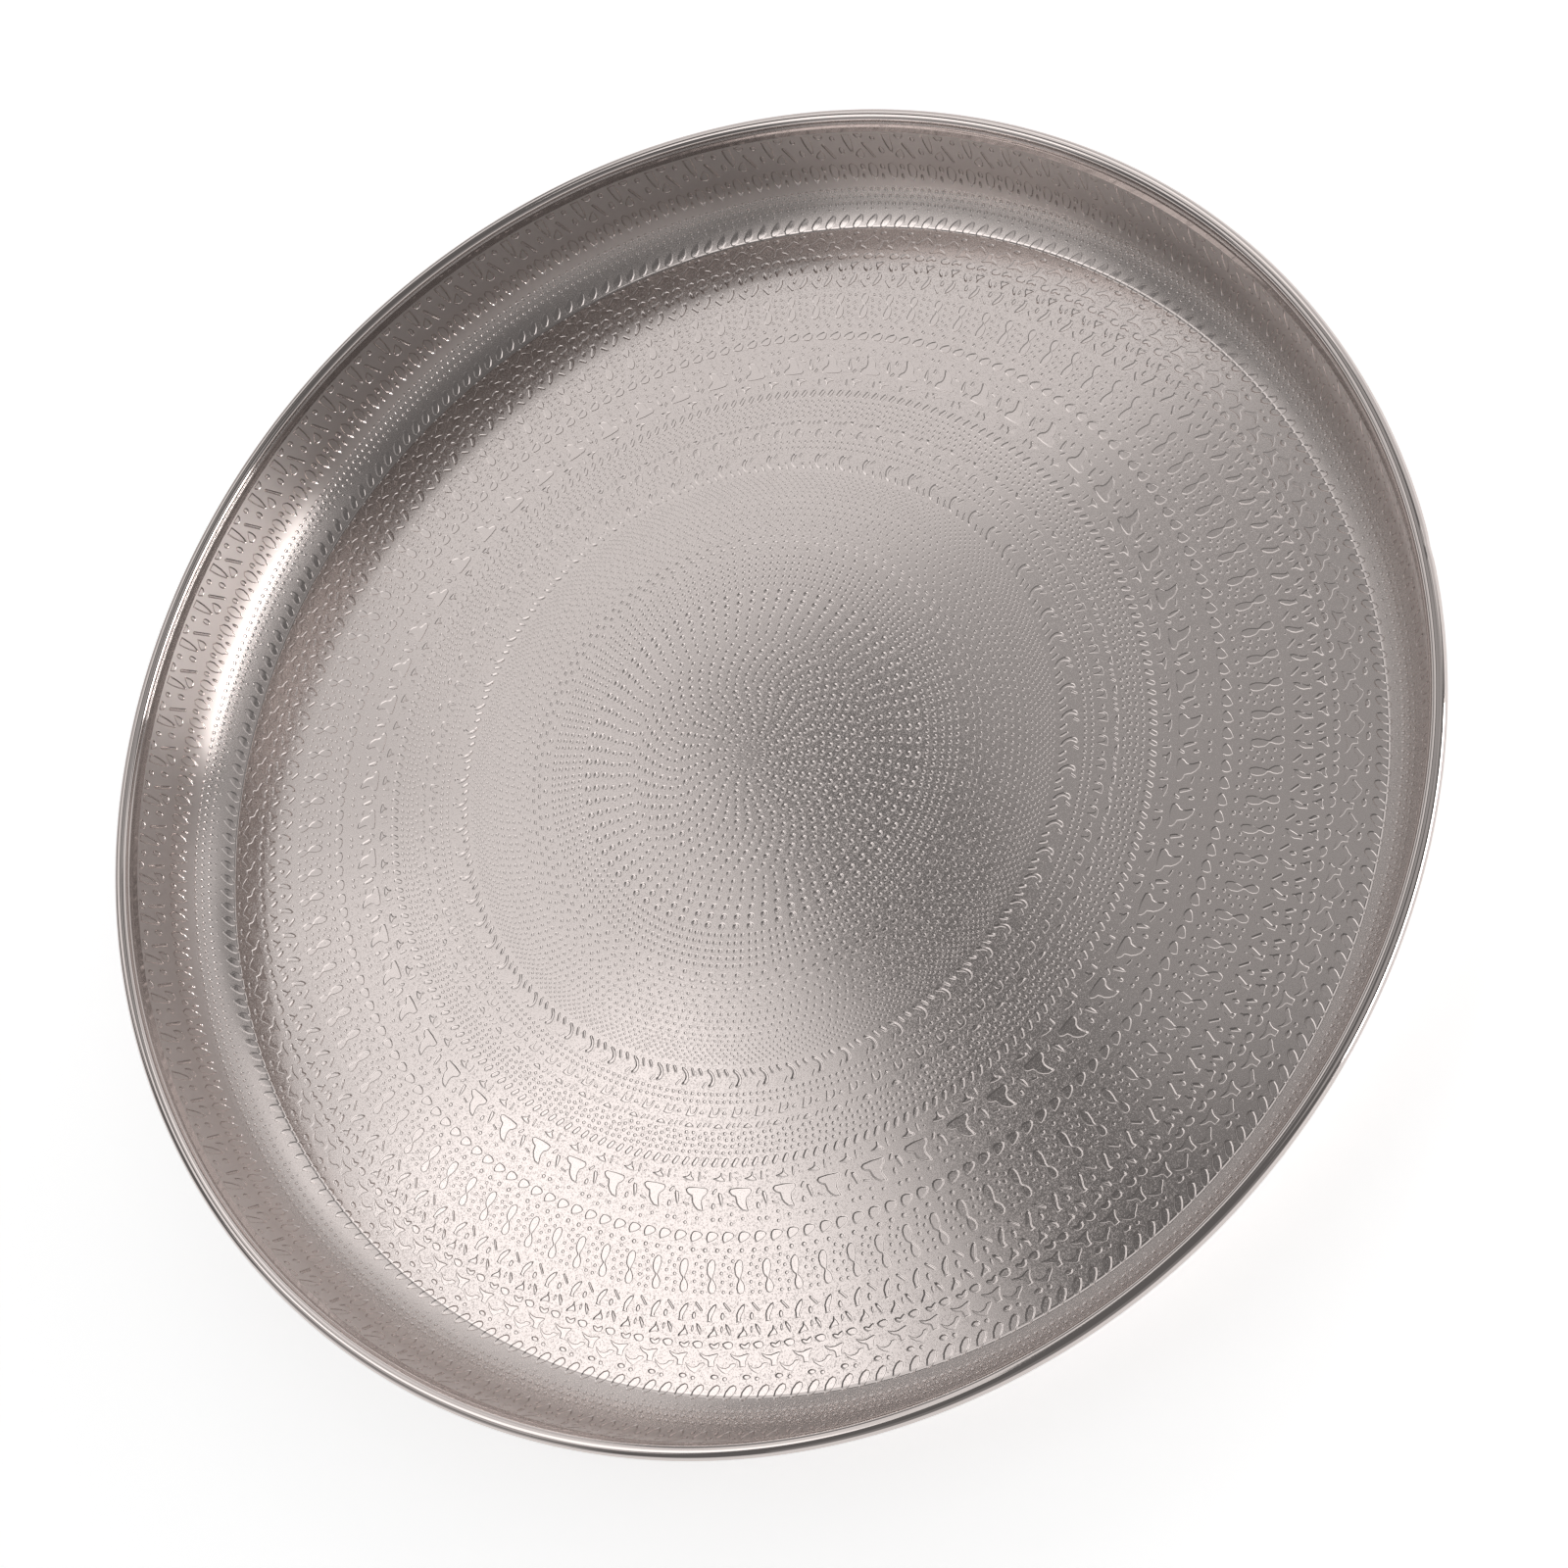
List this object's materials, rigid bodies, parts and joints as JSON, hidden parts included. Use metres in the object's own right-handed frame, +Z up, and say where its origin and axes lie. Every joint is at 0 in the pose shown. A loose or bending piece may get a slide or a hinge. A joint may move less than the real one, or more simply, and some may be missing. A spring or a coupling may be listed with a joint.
{
  "type": "decorative serving tray",
  "caption": "Round pressed-steel serving tray with an embossed flat floor, a curved cove, an upright wall and an edge rolled round a hidden rim wire.",
  "frame": {"origin": "middle of the underside, on the surface that the tray rests on", "axes": "+Z up along the tray's round axis, through the open top; X and Y lie in the floor, and -Y is the side nearest the picture's camera"},
  "size_m": [0.4, 0.4, 0.0404],
  "materials": {
    "satin_steel": "satin, embossed inside, with a polished bead",
    "drawn_wire_steel": "drawn wire"
  },
  "bodies": {
    "root": {"tray_pan": "satin_steel", "rim_wire": "drawn_wire_steel"}
  },
  "joints": []
}
